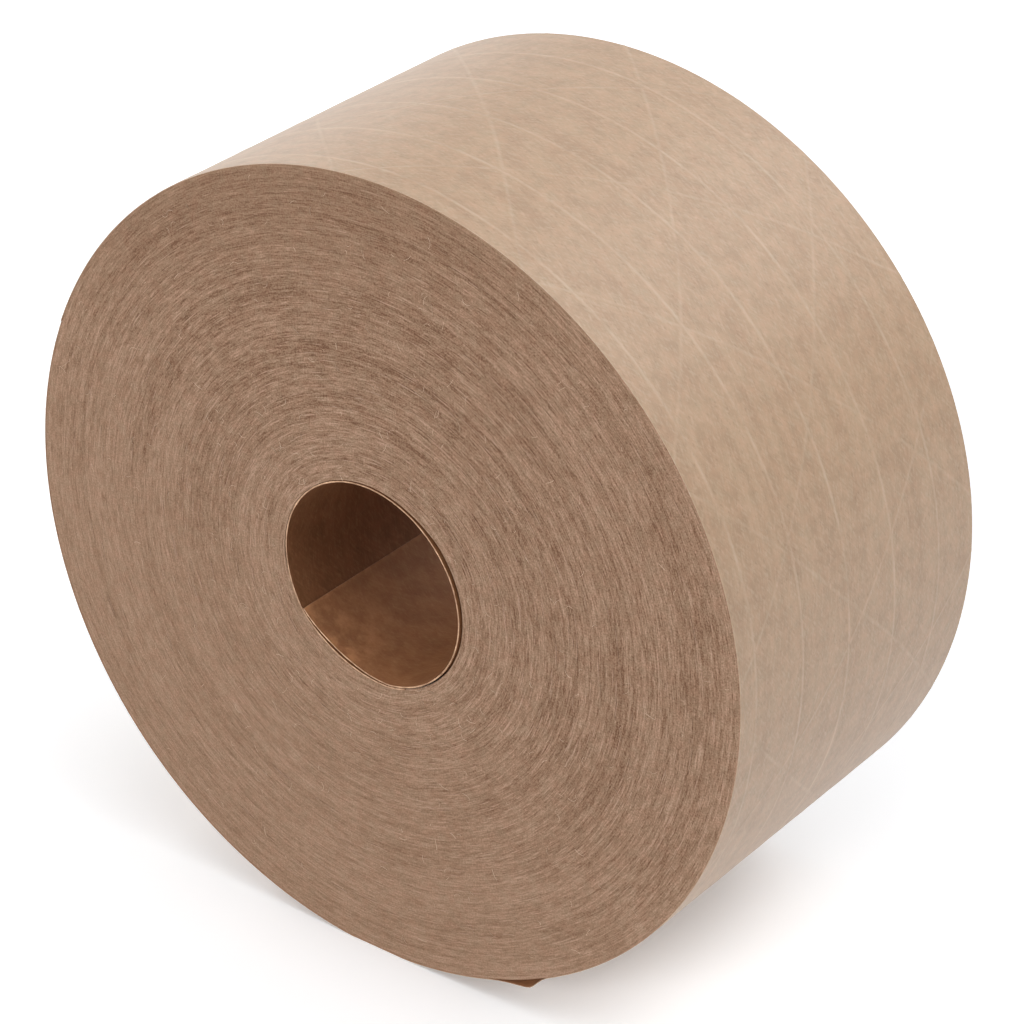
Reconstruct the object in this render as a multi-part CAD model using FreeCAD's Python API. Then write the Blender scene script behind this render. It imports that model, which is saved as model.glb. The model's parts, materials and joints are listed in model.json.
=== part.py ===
"""Roll of reinforced gummed paper tape, standing on its curved edge.

Row frame, in millimetres: the origin is the middle of the core bore, +Y runs along the
roll's axis from the front end face to the back one, and +Z is up, away from the foot.

The web is wound outwards anticlockwise as the front face shows it. It is a laminate, and
its last turn is built ply by ply on a spiral of two half circles, so that each turn lies
on the one under it and the free end leaves a step of one web thickness. The last stretch
of that turn is the tail, which lifts about a line across the outer face.
"""
import FreeCAD, Part
import math
import os
from FreeCAD import Vector

# Web and roll
WEB_WIDTH = 70.0            # the tape's width, the roll's length along Y
OUTER_RADIUS = 74.1         # to the outer face at the free end
BORE_RADIUS = 18.2          # clear inside of the core liner
FOOT_WIDTH = 12.0           # the roll presses flat where it stands
FREE_END_ANGLE = 157.0      # where the tape was cut, degrees from +X towards +Z
TAIL_LENGTH = 28.0          # free stretch of the last turn, along its outer face

# The laminate's layers, from the outer face inwards
FACE_PLY = 0.050
RIGHT_YARN_THICKNESS = 0.015
LONG_YARN_THICKNESS = 0.020
LEFT_YARN_THICKNESS = 0.015
BASE_PLY = 0.050
GUM_FILM = 0.012

# The reinforcing yarns, between the two plies
YARN_WIDTH = 0.6
EDGE_TO_FIRST_YARN = 4.3    # from the front edge to the first lengthwise yarn
LONG_YARN_PITCH = 13.65
DIAGONAL_SLOPE = 45.0       # degrees between a diagonal yarn and the web's length
LEFT_YARN_PITCH = 40.5      # along the web, from one left-hand diagonal to the next
RIGHT_YARN_PITCH = 38.4
CUT_TO_LEFT_YARN = 35.9     # from the free end to a left-hand diagonal, along the mid width
CUT_TO_RIGHT_YARN = 7.1

# The core liner, a loosely curled sheet whose inner edge laps over its own start
LINER_THICKNESS = 0.25
LINER_LAP_ANGLE = 210.0     # the lapping edge, degrees from +X towards +Z
LINER_OVERLAP = 80.0        # degrees of liner hidden under the lap
LINER_RAMP = 60.0           # degrees over which the sheet dives under the lap
LINER_LAP_GAP = 0.05        # between the two thicknesses
LINER_SEAT_GAP = 0.10       # between the liner and the first wound turn

FOOT_ANGLE = 270.0
HALF_TURN = 180.0
FULL_TURN = 360.0


def unit(angle):
    """Direction at an angle in the plane of the end faces."""
    return Vector(math.cos(math.radians(angle)), 0.0, math.sin(math.radians(angle)))


def on_circle(centre, radius, angle):
    return centre + unit(angle) * radius


def arc(centre, radius, start, end):
    """Arc about the Y direction, from one angle to a larger one."""
    return Part.Arc(on_circle(centre, radius, start),
                    on_circle(centre, radius, (start + end) / 2.0),
                    on_circle(centre, radius, end)).toShape()


def strip(outer, inner, length, y_start):
    """Solid between two chains of edges that run the same way, drawn out along Y."""
    head = Part.makeLine(inner[0].firstVertex(True).Point, outer[0].firstVertex(True).Point)
    foot = Part.makeLine(outer[-1].lastVertex(True).Point, inner[-1].lastVertex(True).Point)
    face = Part.Face(Part.Wire([head] + outer + [foot] + list(reversed(inner))))
    solid = face.extrude(Vector(0.0, length, 0.0))
    solid.translate(Vector(0.0, y_start, 0.0))
    return solid


def export(name, solids):
    shape = solids[0] if len(solids) == 1 else Part.makeCompound(solids)
    shape.exportStep("parts/%s.step" % name)
    print("%-26s %2d solid(s) %14.4f mm3" % (name, len(solids), shape.Volume))


class Web:
    """The tape's path through its last turn, and the depths of its layers."""

    def __init__(self):
        self.layers = {}
        depth = 0.0
        for name, thickness in (("face_ply", FACE_PLY),
                                ("right_yarns", RIGHT_YARN_THICKNESS),
                                ("long_yarns", LONG_YARN_THICKNESS),
                                ("left_yarns", LEFT_YARN_THICKNESS),
                                ("base_ply", BASE_PLY),
                                ("gum_film", GUM_FILM)):
            self.layers[name] = (depth, depth + thickness)
            depth += thickness
        self.thickness = depth
        self.front = -WEB_WIDTH / 2.0

        # One turn climbs by one thickness, half of it at each change of centre.
        quarter = self.thickness / 4.0
        self.near_centre = unit(FREE_END_ANGLE) * -quarter
        self.far_centre = unit(FREE_END_ANGLE) * quarter
        self.near_radius = OUTER_RADIUS - 3.0 * quarter
        self.far_radius = OUTER_RADIUS - quarter

        self.turn_start = FREE_END_ANGLE
        self.turn_middle = FREE_END_ANGLE + HALF_TURN
        self.turn_end = FREE_END_ANGLE + FULL_TURN
        self.hinge = self.turn_end - math.degrees(TAIL_LENGTH / self.far_radius)
        self.foot_drop = self.near_radius - math.sqrt(self.near_radius ** 2
                                                      - (FOOT_WIDTH / 2.0) ** 2)

    def foot_corners(self, depth):
        """Half angle of the flat foot, seen from the near centre."""
        radius = self.near_radius - depth
        return math.degrees(math.acos((radius - self.foot_drop) / radius))

    def last_turn(self, depth):
        """Edges from the buried start of the last turn to the tail's hinge line."""
        near = self.near_radius - depth
        half = self.foot_corners(depth)
        left, right = FOOT_ANGLE - half, FOOT_ANGLE + half
        return [arc(self.near_centre, near, self.turn_start, left),
                Part.makeLine(on_circle(self.near_centre, near, left),
                              on_circle(self.near_centre, near, right)),
                arc(self.near_centre, near, right, self.turn_middle),
                arc(self.far_centre, self.far_radius - depth, self.turn_middle, self.hinge)]

    def tail(self, depth):
        """Edges from the hinge line to the free end."""
        return [arc(self.far_centre, self.far_radius - depth, self.hinge, self.turn_end)]

    def layer(self, path, name, length=WEB_WIDTH, y_start=None):
        outer, inner = self.layers[name]
        start = self.front if y_start is None else y_start
        return strip(path(outer), path(inner), length, start)


def wound_turns(web):
    """Every turn under the last one, with the step that the last turn starts from."""
    outside = web.last_turn(web.thickness) + web.tail(web.thickness)
    step = Part.makeLine(outside[-1].lastVertex(True).Point, outside[0].firstVertex(True).Point)
    disc = Part.Face(Part.Wire(outside + [step])).extrude(Vector(0.0, WEB_WIDTH, 0.0))
    bore_radius = BORE_RADIUS + 2.0 * LINER_THICKNESS + LINER_LAP_GAP + LINER_SEAT_GAP
    bore = Part.makeCylinder(bore_radius, WEB_WIDTH, Vector(0.0, 0.0, 0.0), Vector(0.0, 1.0, 0.0))
    pack = disc.cut(bore)
    pack.translate(Vector(0.0, web.front, 0.0))
    return pack.Solids


def core_liner(web):
    """Curled sheet: a round inner turn, a ramp, and the stretch under the lap."""
    axis = Vector(0.0, 0.0, 0.0)
    under = LINER_THICKNESS + LINER_LAP_GAP
    ramp_end = LINER_LAP_ANGLE + FULL_TURN
    ramp_start = ramp_end - LINER_RAMP

    def path(depth):
        radius = BORE_RADIUS + depth
        middle = (ramp_start + ramp_end) / 2.0
        ramp = Part.Arc(on_circle(axis, radius, ramp_start),
                        on_circle(axis, radius + under / 2.0, middle),
                        on_circle(axis, radius + under, ramp_end)).toShape()
        return [arc(axis, radius, LINER_LAP_ANGLE, ramp_start), ramp,
                arc(axis, radius + under, ramp_end, ramp_end + LINER_OVERLAP)]

    return [strip(path(LINER_THICKNESS), path(0.0), WEB_WIDTH, web.front)]


def long_yarn_places(web):
    """Front side of each lengthwise yarn, as many as the web's width takes."""
    span = WEB_WIDTH - 2.0 * EDGE_TO_FIRST_YARN
    count = int(span / LONG_YARN_PITCH) + 1
    first = web.front + EDGE_TO_FIRST_YARN - YARN_WIDTH / 2.0
    return [first + index * LONG_YARN_PITCH for index in range(count)]


def long_yarns(web, path):
    return [web.layer(path, "long_yarns", YARN_WIDTH, place) for place in long_yarn_places(web)]


def adhesive(web, path):
    """Bands of laminating adhesive, which fill the level of the lengthwise yarns."""
    bands = []
    start = web.front
    for place in long_yarn_places(web) + [web.front + WEB_WIDTH]:
        bands.append(web.layer(path, "long_yarns", place - start, start))
        start = place + YARN_WIDTH
    return bands


def diagonal_yarns(web, path, name, pitch, from_cut, hand):
    """Yarns that cross the web at a slant, each a thin plane slice of its level.

    from_cut is the way along the mid width from the free end to one of them. hand is +1
    where the angle grows towards the back, and -1 where it falls.
    """
    level = web.layer(path, name)
    slope = math.radians(DIAGONAL_SLOPE)
    reach = WEB_WIDTH / math.sin(slope)
    margin = WEB_WIDTH / math.tan(slope)
    turn_length = math.radians(FULL_TURN) * OUTER_RADIUS
    first = math.ceil((-margin - from_cut) / pitch)
    last = math.floor((turn_length + margin - from_cut) / pitch)
    yarns = []
    for index in range(first, last + 1):
        crossing = web.turn_end - math.degrees((from_cut + index * pitch) / OUTER_RADIUS)
        out = unit(crossing)
        around = unit(crossing + 90.0)
        along = around * math.cos(slope) + Vector(0.0, hand * math.sin(slope), 0.0)
        across = out.cross(along)
        slab = Part.makeBox(2.0 * reach, YARN_WIDTH, OUTER_RADIUS)
        slab.translate(Vector(-reach, -YARN_WIDTH / 2.0, 0.0))
        frame = FreeCAD.Matrix(along.x, across.x, out.x, 0.0, along.y, across.y, out.y, 0.0,
                               along.z, across.z, out.z, 0.0, 0.0, 0.0, 0.0, 1.0)
        slab = slab.transformGeometry(frame)
        for piece in level.common(slab).Solids:
            centre = piece.CenterOfMass
            angle = math.degrees(math.atan2(centre.z, centre.x)) % FULL_TURN
            if angle < web.turn_start:
                angle += FULL_TURN
            if abs(angle - crossing) < HALF_TURN / 2.0:
                yarns.append(piece)
    return yarns


def build():
    os.makedirs("parts", exist_ok=True)
    web = Web()
    export("core_liner", core_liner(web))
    export("wound_turns", wound_turns(web))
    for prefix, path in (("last_turn", web.last_turn), ("tail", web.tail)):
        for name in ("face_ply", "base_ply", "gum_film"):
            export("%s_%s" % (prefix, name), [web.layer(path, name)])
        export(prefix + "_adhesive", adhesive(web, path))
        export(prefix + "_long_yarns", long_yarns(web, path))
        export(prefix + "_left_yarns", diagonal_yarns(web, path, "left_yarns", LEFT_YARN_PITCH,
                                                      CUT_TO_LEFT_YARN, -1.0))
        export(prefix + "_right_yarns", diagonal_yarns(web, path, "right_yarns", RIGHT_YARN_PITCH,
                                                       CUT_TO_RIGHT_YARN, 1.0))
    hinge = on_circle(web.far_centre, web.far_radius, web.hinge)
    print("tail hinge line x %.4f z %.4f, foot at z %.4f"
          % (hinge.x, hinge.z, on_circle(web.near_centre, web.near_radius - web.foot_drop,
                                         FOOT_ANGLE).z))


build()
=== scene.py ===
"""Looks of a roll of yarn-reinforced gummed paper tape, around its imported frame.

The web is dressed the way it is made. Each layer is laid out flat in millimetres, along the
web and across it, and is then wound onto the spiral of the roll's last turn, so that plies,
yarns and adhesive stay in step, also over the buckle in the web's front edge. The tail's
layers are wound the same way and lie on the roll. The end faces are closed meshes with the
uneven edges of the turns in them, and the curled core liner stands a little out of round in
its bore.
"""
import json
import logging
import math
from collections.abc import Iterable
from dataclasses import dataclass, field
from enum import Enum
from typing import Any

import bmesh
import bpy
import numpy as np
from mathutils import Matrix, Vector


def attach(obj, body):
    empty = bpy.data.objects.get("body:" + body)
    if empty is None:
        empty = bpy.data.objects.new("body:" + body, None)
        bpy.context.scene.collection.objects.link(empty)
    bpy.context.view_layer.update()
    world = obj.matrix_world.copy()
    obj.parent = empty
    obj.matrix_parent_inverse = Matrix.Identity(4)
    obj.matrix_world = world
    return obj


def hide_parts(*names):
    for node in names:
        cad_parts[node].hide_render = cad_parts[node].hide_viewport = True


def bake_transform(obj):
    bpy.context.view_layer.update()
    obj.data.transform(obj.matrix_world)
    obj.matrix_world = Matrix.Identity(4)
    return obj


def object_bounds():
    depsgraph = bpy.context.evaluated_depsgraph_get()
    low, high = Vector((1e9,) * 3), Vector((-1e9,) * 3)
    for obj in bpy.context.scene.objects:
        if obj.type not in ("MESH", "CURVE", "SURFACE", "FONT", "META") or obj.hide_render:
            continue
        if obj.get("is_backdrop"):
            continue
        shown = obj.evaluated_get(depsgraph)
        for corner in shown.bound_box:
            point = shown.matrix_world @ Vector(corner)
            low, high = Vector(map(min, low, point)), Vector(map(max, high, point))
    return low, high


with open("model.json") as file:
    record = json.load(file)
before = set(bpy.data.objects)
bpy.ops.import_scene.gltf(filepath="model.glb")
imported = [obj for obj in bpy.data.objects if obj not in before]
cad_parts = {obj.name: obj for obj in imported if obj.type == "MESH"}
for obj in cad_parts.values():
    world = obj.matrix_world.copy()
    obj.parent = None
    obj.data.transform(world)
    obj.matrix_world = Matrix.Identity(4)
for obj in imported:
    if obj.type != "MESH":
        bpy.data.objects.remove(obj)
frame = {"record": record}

LOG = logging.getLogger("tape_roll")
MM = 0.001
HALF_TURN = 180.0
FULL_TURN = 360.0
SHARP_EDGE = 40.0           # degrees between two faces, from which their edge stays crisp
LEAST_AREA = 1e-9           # square millimetres, under which a face is left out
ON_PLANE = 1e-4             # millimetres from a cut, within which a corner lies on it
WHITE = (1.0, 1.0, 1.0, 1.0)
TINT_RANGE = (0.3, 0.7)     # a noise's values at which its tint starts and is full
Wire = bpy.types.Node | bpy.types.NodeSocket    # a node stands for its first output


class Slot(Enum):
    """The record's material slots."""

    FACE_PAPER = "face_paper"
    BASE_PAPER = "base_paper"
    WOUND_EDGE = "wound_edge"
    LINER_PAPER = "liner_paper"
    DRIED_GUM = "dried_gum"
    LAMINATING_ADHESIVE = "laminating_adhesive"
    YARN = "yarn"


class Hand(Enum):
    """Which way a slanting yarn leans: its place along the web grows or falls across it."""

    LEFT = 1.0
    RIGHT = -1.0


def linear(colour: str) -> tuple[float, float, float, float]:
    """Turn an sRGB hex colour to linear light.

    Args:
        colour: Six hex digits after a hash sign.

    Returns:
        Linear red, green and blue, and an alpha of 1.
    """
    shares = [int(colour[at:at + 2], 16) / 255.0 for at in (1, 3, 5)]
    light = [s / 12.92 if s <= 0.04045 else ((s + 0.055) / 1.055) ** 2.4 for s in shares]
    return light[0], light[1], light[2], 1.0


def add_node(tree: bpy.types.NodeTree, kind: str, inputs: Any = (),
             **settings: Any) -> bpy.types.Node:
    """Add a node with its settings and its inputs' values or links.

    Args:
        tree: The node tree of a material, a world or a geometry modifier.
        kind: The node's type name.
        inputs: What goes into its inputs: values, sockets, or nodes whose first output is
            meant. A dict has them by name, and anything else in their order.
        **settings: The node's own properties.

    Returns:
        The new node.
    """
    node = tree.nodes.new(kind)
    for name, value in settings.items():
        setattr(node, name, value)
    sockets = [socket for socket in node.inputs if socket.enabled]
    if isinstance(inputs, dict):
        pairs = [(next(socket for socket in sockets if socket.name == name), source)
                 for name, source in inputs.items()]
    else:
        pairs = list(zip(sockets, inputs))
    for socket, source in pairs:
        if isinstance(source, bpy.types.Node):
            source = next(output for output in source.outputs if output.enabled)
        if isinstance(source, bpy.types.NodeSocket):
            tree.links.new(source, socket)
        else:
            socket.default_value = source
    return node


def add_steps(tree: bpy.types.NodeTree, kind: str, wires: dict[str, Any],
              steps: Iterable[tuple[Any, ...]]) -> None:
    """Add nodes of one kind in a row, each of which may take what was made before it.

    Args:
        tree: The node tree.
        kind: The nodes' type name.
        wires: Sockets and nodes by name. The new nodes are added to it.
        steps: For each node its name, its operation and its inputs, as names or values.
    """
    for name, operation, *inputs in steps:
        wires[name] = add_node(tree, kind, [wires.get(term, term) for term in inputs],
                               operation=operation)


# ---------------------------------------------------------------------------------------
# Meshes
# ---------------------------------------------------------------------------------------

@dataclass
class Sheet:
    """A mesh in millimetres, before it is wound: along the web, across it, and its height.

    Attributes:
        points: One row for each corner.
        faces: The corners of each face.
        crest: For each corner, how far it lies up the ridge over a yarn, from 0 to 1.
    """

    points: np.ndarray
    faces: list[tuple[int, ...]]
    crest: np.ndarray

    def joined(self, other: "Sheet") -> "Sheet":
        """Put two meshes into one.

        Args:
            other: The mesh that comes second.

        Returns:
            A new mesh that holds both.
        """
        shift = len(self.points)
        moved = [tuple(corner + shift for corner in face) for face in other.faces]
        return Sheet(np.vstack([self.points, other.points]), self.faces + moved,
                     np.concatenate([self.crest, other.crest]))


def slab(columns: np.ndarray, rows: np.ndarray, top: float, bottom: float) -> Sheet:
    """Make a closed flat slab with corners where the columns and rows cross.

    Args:
        columns: Places along the web, rising.
        rows: Places across the web, rising.
        top: Height of the upper side.
        bottom: Height of the lower side.

    Returns:
        The slab, with its faces outwards.
    """
    wide, deep = len(columns), len(rows)
    along, across = np.meshgrid(columns, rows, indexing="ij")
    flat = np.stack([along.ravel(), across.ravel()], axis=1)
    upper = np.column_stack([flat, np.full(len(flat), top)])
    lower = np.column_stack([flat, np.full(len(flat), bottom)])
    below = len(flat)
    faces = []
    for column in range(wide - 1):
        for row in range(deep - 1):
            first = column * deep + row
            quad = (first, first + deep, first + deep + 1, first + 1)
            faces.append(quad)
            faces.append(tuple(corner + below for corner in reversed(quad)))
    rim = [column * deep for column in range(wide)]
    rim += [(wide - 1) * deep + row for row in range(1, deep)]
    rim += [column * deep + deep - 1 for column in range(wide - 2, -1, -1)]
    rim += [row for row in range(deep - 2, 0, -1)]
    for here, after in zip(rim, rim[1:] + rim[:1]):
        faces.append((after, here, here + below, after + below))
    return Sheet(np.vstack([upper, lower]), faces, np.zeros(2 * below))


def make_piece(name: str, points: np.ndarray, faces: list[tuple[int, ...]],
               materials: list[bpy.types.Material], chart: np.ndarray | None = None,
               material_of_face: np.ndarray | None = None,
               **values: np.ndarray) -> bpy.types.Object:
    """Make a smooth-shaded object with crisp edges, at the origin of the frame.

    Args:
        name: The piece's name.
        points: Its corners in the frame, in millimetres.
        faces: The corners of each face.
        materials: The materials of its slots.
        chart: Two numbers in millimetres for each corner, kept as its map named web.
        material_of_face: The slot of each face, or None for the first one.
        **values: Numbers for each corner, kept as attributes under their names.

    Returns:
        The object, linked to the scene.
    """
    mesh = bpy.data.meshes.new(name)
    mesh.from_pydata((points * MM).tolist(), [], faces)
    for material in materials:
        mesh.materials.append(material)
    if material_of_face is not None:
        mesh.polygons.foreach_set("material_index", material_of_face.astype(np.int32))
    if chart is not None:
        corners = np.zeros(len(mesh.loops), np.int32)
        mesh.loops.foreach_get("vertex_index", corners)
        layer = mesh.uv_layers.new(name="web")
        layer.data.foreach_set("uv", chart[corners].astype(np.float32).ravel())
    for key, numbers in values.items():
        attribute = mesh.attributes.new(key, "FLOAT", "POINT")
        attribute.data.foreach_set("value", numbers.astype(np.float32))
    mesh.shade_smooth()
    mesh.set_sharp_from_angle(angle=math.radians(SHARP_EDGE))
    mesh.update()
    piece = bpy.data.objects.new(name, mesh)
    bpy.context.scene.collection.objects.link(piece)
    return piece


def from_nodes(tree: bpy.types.NodeTree, inputs: dict[str, Any]) -> bpy.types.Mesh:
    """Run a geometry tree once and keep its result as a plain mesh.

    Args:
        tree: The geometry node tree.
        inputs: Values for the tree's inputs, by their names.

    Returns:
        The evaluated mesh, which depends on no modifier.
    """
    carrier = bpy.data.objects.new("carrier", bpy.data.meshes.new("none"))
    bpy.context.scene.collection.objects.link(carrier)
    modifier = carrier.modifiers.new("tree", "NODES")
    modifier.node_group = tree
    sockets = {item.name: item.identifier for item in tree.interface.items_tree
               if item.item_type == "SOCKET" and item.in_out == "INPUT"}
    for name, value in inputs.items():
        modifier[sockets[name]] = value
    graph = bpy.context.evaluated_depsgraph_get()
    result = bpy.data.meshes.new_from_object(carrier.evaluated_get(graph))
    bpy.data.objects.remove(carrier)
    return result


def as_sheet(mesh: bpy.types.Mesh) -> Sheet:
    """Take the faces of a mesh and the corners that they use.

    Args:
        mesh: A mesh in millimetres, which may have an attribute named crest. It is removed.

    Returns:
        The same faces as a sheet.
    """
    points = np.zeros(len(mesh.vertices) * 3)
    mesh.vertices.foreach_get("co", points)
    points = points.reshape(-1, 3)
    crest = np.zeros(len(points), np.float32)
    if "crest" in mesh.attributes:
        mesh.attributes["crest"].data.foreach_get("value", crest)
    faces = [tuple(face.vertices) for face in mesh.polygons if face.area > LEAST_AREA]
    used = np.array(sorted({corner for face in faces for corner in face}), int)
    number = np.zeros(len(points), int)
    number[used] = np.arange(len(used))
    faces = [tuple(int(number[corner]) for corner in face) for face in faces]
    bpy.data.meshes.remove(mesh)
    return Sheet(points[used], faces, crest[used])


def new_geometry_tree(name: str, **inputs: tuple[str, ...]) -> tuple[
        bpy.types.NodeTree, dict[str, Any], bpy.types.Node]:
    """Start a geometry tree with named inputs.

    Args:
        name: The tree's name.
        **inputs: The names of its inputs after the geometry, by their kind.

    Returns:
        The tree, a socket for each input together with the axes x, y and z of a point's
        place, and the output node.
    """
    tree = bpy.data.node_groups.new(name, "GeometryNodeTree")
    tree.interface.new_socket("Geometry", in_out="INPUT", socket_type="NodeSocketGeometry")
    tree.interface.new_socket("Geometry", in_out="OUTPUT", socket_type="NodeSocketGeometry")
    for kind, labels in inputs.items():
        for label in labels:
            tree.interface.new_socket(label, in_out="INPUT", socket_type=f"NodeSocket{kind}")
    wires = {socket.name: socket for socket in add_node(tree, "NodeGroupInput").outputs}
    place = add_node(tree, "GeometryNodeInputPosition")
    parts = add_node(tree, "ShaderNodeSeparateXYZ", (place,))
    wires.update(zip("xyz", parts.outputs))
    return tree, wires, add_node(tree, "NodeGroupOutput")


# ---------------------------------------------------------------------------------------
# Finishes
# ---------------------------------------------------------------------------------------

def empty_tree(owner: bpy.types.Material | bpy.types.World) -> bpy.types.NodeTree:
    """Give a material or a world an empty node tree.

    Args:
        owner: The material or world.

    Returns:
        Its tree.
    """
    owner.use_nodes = True
    owner.node_tree.nodes.clear()
    return owner.node_tree


def cover(tree: bpy.types.NodeTree, height: Wire, bump_mm: float,
          skin: dict[str, Any]) -> None:
    """End a material's tree in one surface with a fine relief.

    Args:
        tree: The material's tree.
        height: The pattern that the relief follows.
        bump_mm: How deep the relief is.
        skin: The surface's own inputs, by their names.
    """
    bump = add_node(tree, "ShaderNodeBump", {
        "Height": height, "Distance": bump_mm * MM, "Strength": 1.0})
    surface = add_node(tree, "ShaderNodeBsdfPrincipled", {**skin, "Normal": bump})
    add_node(tree, "ShaderNodeOutputMaterial", (surface,))


def tint(tree: bpy.types.NodeTree, place: Wire, size: float, colour: Wire) -> Wire:
    """Let a colour drift between redder and greener patches, as unbleached pulp does.

    Args:
        tree: The material's tree.
        place: Coordinates of any unit.
        size: The width of a patch in that unit.
        colour: The colour to tint.

    Returns:
        The tinted colour.
    """
    noise = add_node(tree, "ShaderNodeTexNoise", {
        "Vector": place, "Scale": 1.0 / size, "Detail": 3.0, "Roughness": 0.6})
    share = add_node(tree, "ShaderNodeMapRange", (noise, *TINT_RANGE))
    cast = add_node(tree, "ShaderNodeMix", (share, linear("#FFFBF8"), linear("#FAFFFD")),
                    data_type="RGBA")
    return add_node(tree, "ShaderNodeMix", (1.0, colour, cast), data_type="RGBA",
                    blend_type="MULTIPLY")


@dataclass(frozen=True)
class Paper:
    """Machine-glazed kraft paper: brown wood fibres, smoothed on one side by a hot cylinder.

    The glaze gives it a faint satin. Cloudy formation, short crossing fibres and a few dark
    shives keep it from looking like a flat colour. Over the yarns it is drawn paler, partly
    rubbed and partly a painted highlight on their ridges.
    Each range gives the values of a pattern at which its colour starts and is full.
    """

    name: str
    colour: str = "#C9A88B"
    shade: str = "#B49175"
    fibre: str = "#DAC2A9"
    shive: str = "#8F6D52"
    # The crest colour: over the yarns partly rubbing and partly painted highlight, in the
    # liner painted light.
    crest_tone: str = "#DFC5AC"
    roughness: float = 0.40
    ior: float = 1.42
    sheen: float = 0.05
    formation_mm: float = 5.0   # the cloudiest patches that show when it is held to light
    cloud_range: tuple[float, float] = (0.36, 0.64)
    cloud_strength: float = 0.70
    fibre_width_mm: float = 0.42
    fibre_length_mm: float = 1.9
    fibre_range: tuple[float, float] = (0.96, 1.30)
    fibre_strength: float = 0.36
    fibre_turns: tuple[float, float] = (0.25, -0.6)     # how the fibres lie to the web
    shive_width_mm: float = 0.40
    shive_length_mm: float = 1.3
    shive_range: tuple[float, float] = (0.88, 0.70)
    shive_strength: float = 0.24
    crest_strength: float = 0.56
    crest_patch_mm: float = 11.0     # how far apart the paler stretches of a crest lie
    crest_patch_range: tuple[float, float] = (0.38, 0.62)
    least_crest: float = 0.15  # what the least pale stretches still show
    tint_mm: float = 2.5
    streak_width_mm: float = 2.6    # streaks along the web, as the paper machine leaves them
    streak_length_mm: float = 70.0
    streak_strength: float = 0.50
    bump_mm: float = 0.012

    def build(self) -> bpy.types.Material:
        """Make the material, with its patterns on the web's own map in millimetres.

        Returns:
            The material.
        """
        material = bpy.data.materials.new(self.name)
        tree = empty_tree(material)
        web = add_node(tree, "ShaderNodeUVMap", uv_map="web")
        clouds = add_node(tree, "ShaderNodeTexNoise", {
            "Vector": web, "Scale": 1.0 / self.formation_mm, "Detail": 6.0,
            "Roughness": 0.72})
        drawn = add_node(tree, "ShaderNodeVectorMath", (
            web, (1.0 / self.streak_length_mm, 1.0 / self.streak_width_mm, 1.0)),
            operation="MULTIPLY")
        streaks = add_node(tree, "ShaderNodeTexNoise", {
            "Vector": drawn, "Scale": 1.0, "Detail": 3.0, "Roughness": 0.6})
        streaked = add_node(tree, "ShaderNodeMath", (streaks, self.streak_strength, clouds),
                            operation="MULTIPLY_ADD")
        middle = 0.5 * self.streak_strength
        fibres = self.crossing_fibres(tree, web, self.fibre_width_mm, self.fibre_length_mm)
        shives = self.crossing_fibres(tree, web, self.shive_width_mm, self.shive_length_mm)
        colour = linear(self.colour)
        for pattern, (low, high), strength, tone in (
                (streaked, [end + middle for end in self.cloud_range], self.cloud_strength,
                 self.shade),
                (fibres, self.fibre_range, self.fibre_strength, self.fibre),
                (shives, self.shive_range, self.shive_strength, self.shive)):
            share = add_node(tree, "ShaderNodeMapRange", (pattern, low, high, 0.0, strength))
            colour = add_node(tree, "ShaderNodeMix", (share, colour, linear(tone)),
                              data_type="RGBA")
        # Paler where the crest attribute is set: over the yarns partly rubbed and partly a
        # painted highlight on their ridges; in the liner painted light and a pale band at its
        # lapping edge.
        crest = add_node(tree, "ShaderNodeAttribute", attribute_name="crest").outputs["Fac"]
        crest_patches = add_node(tree, "ShaderNodeTexNoise", {
            "Vector": web, "Scale": 1.0 / self.crest_patch_mm, "Detail": 4.0, "Roughness": 0.7})
        crest_share = add_node(tree, "ShaderNodeMapRange", (
            crest_patches, *self.crest_patch_range, self.least_crest * self.crest_strength,
            self.crest_strength))
        crest_amount = add_node(tree, "ShaderNodeMath", (crest, crest_share), operation="MULTIPLY")
        crested = add_node(tree, "ShaderNodeMix", (crest_amount, colour, linear(self.crest_tone)),
                          data_type="RGBA")
        relief = add_node(tree, "ShaderNodeMath", (fibres, clouds), operation="ADD")
        cover(tree, relief, self.bump_mm, {
            "Base Color": tint(tree, web, self.tint_mm, crested), "Roughness": self.roughness,
            "IOR": self.ior, "Sheen Weight": self.sheen, "Sheen Roughness": 0.5})
        return material

    def crossing_fibres(self, tree: bpy.types.NodeTree, web: Wire, width: float,
                        length: float) -> Wire:
        """Lay two drawn-out patterns across each other, as fibres lie in a sheet.

        Args:
            tree: The material's tree.
            web: Places on the web, in millimetres.
            width: The width of a fibre.
            length: Its length.

        Returns:
            The sum of both patterns, about 1 on average.
        """
        laid = []
        for turn in self.fibre_turns:
            turned = add_node(tree, "ShaderNodeMapping", {
                "Vector": web, "Rotation": (0.0, 0.0, turn)})
            drawn = add_node(tree, "ShaderNodeVectorMath", (
                turned, (1.0 / length, 1.0 / width, 1.0)), operation="MULTIPLY")
            laid.append(add_node(tree, "ShaderNodeTexNoise", {
                "Vector": drawn, "Scale": 1.0, "Detail": 2.0, "Distortion": 0.6}))
        return add_node(tree, "ShaderNodeMath", laid, operation="ADD")


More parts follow.
